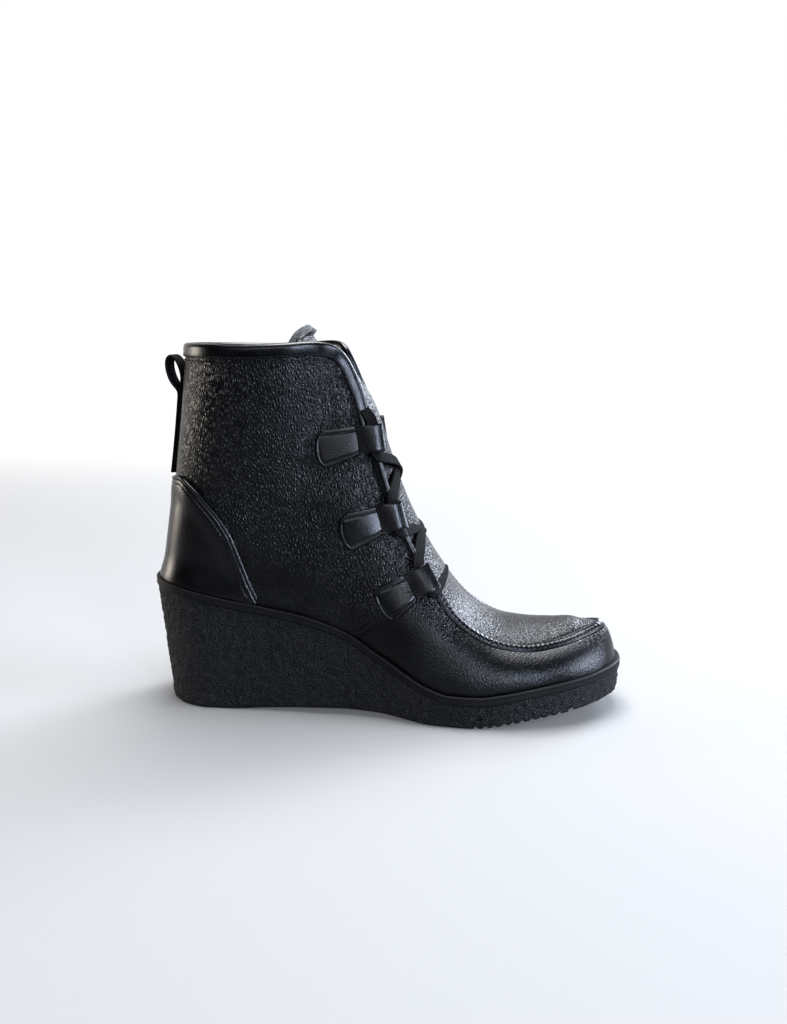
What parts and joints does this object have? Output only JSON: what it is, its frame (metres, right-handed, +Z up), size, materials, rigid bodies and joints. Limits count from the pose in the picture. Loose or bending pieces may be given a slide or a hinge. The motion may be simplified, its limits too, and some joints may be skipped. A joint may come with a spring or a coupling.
{
  "type": "wedge ankle boot",
  "caption": "Women's right ankle boot of black leather on a crepe wedge, with a moccasin apron and flat elastic lace run through side loops.",
  "frame": {"origin": "on the floor under the middle of the heel seat, on the sole's flat heel", "axes": "+X to the toe, +Y to the inner side of the foot, +Z up"},
  "size_m": [0.2495, 0.0943, 0.1985],
  "materials": {
    "grained_leather": "pebbled grain, soft sheen",
    "smooth_leather": "smooth, soft sheen",
    "crepe_rubber": "crumbled crepe texture, matt",
    "smooth_rubber": "smooth, satin",
    "fleece": "short dense pile",
    "webbing": "ribbed flat weave"
  },
  "bodies": {
    "root": {"upper": "grained_leather", "tongue": "grained_leather", "heel_counter": "smooth_leather", "collar_binding": "smooth_leather", "tab_low_outer": "smooth_leather", "tab_low_inner": "smooth_leather", "tab_middle_outer": "smooth_leather", "tab_middle_inner": "smooth_leather", "tab_top_outer": "smooth_leather", "tab_top_inner": "smooth_leather", "wedge_sole": "crepe_rubber", "rand": "smooth_rubber", "insole": "fleece", "lace_bar": "webbing", "lace_crossing_1": "webbing", "lace_crossing_2": "webbing", "lace_end_outer": "webbing", "lace_end_inner": "webbing", "pull_loop": "webbing"}
  },
  "joints": []
}
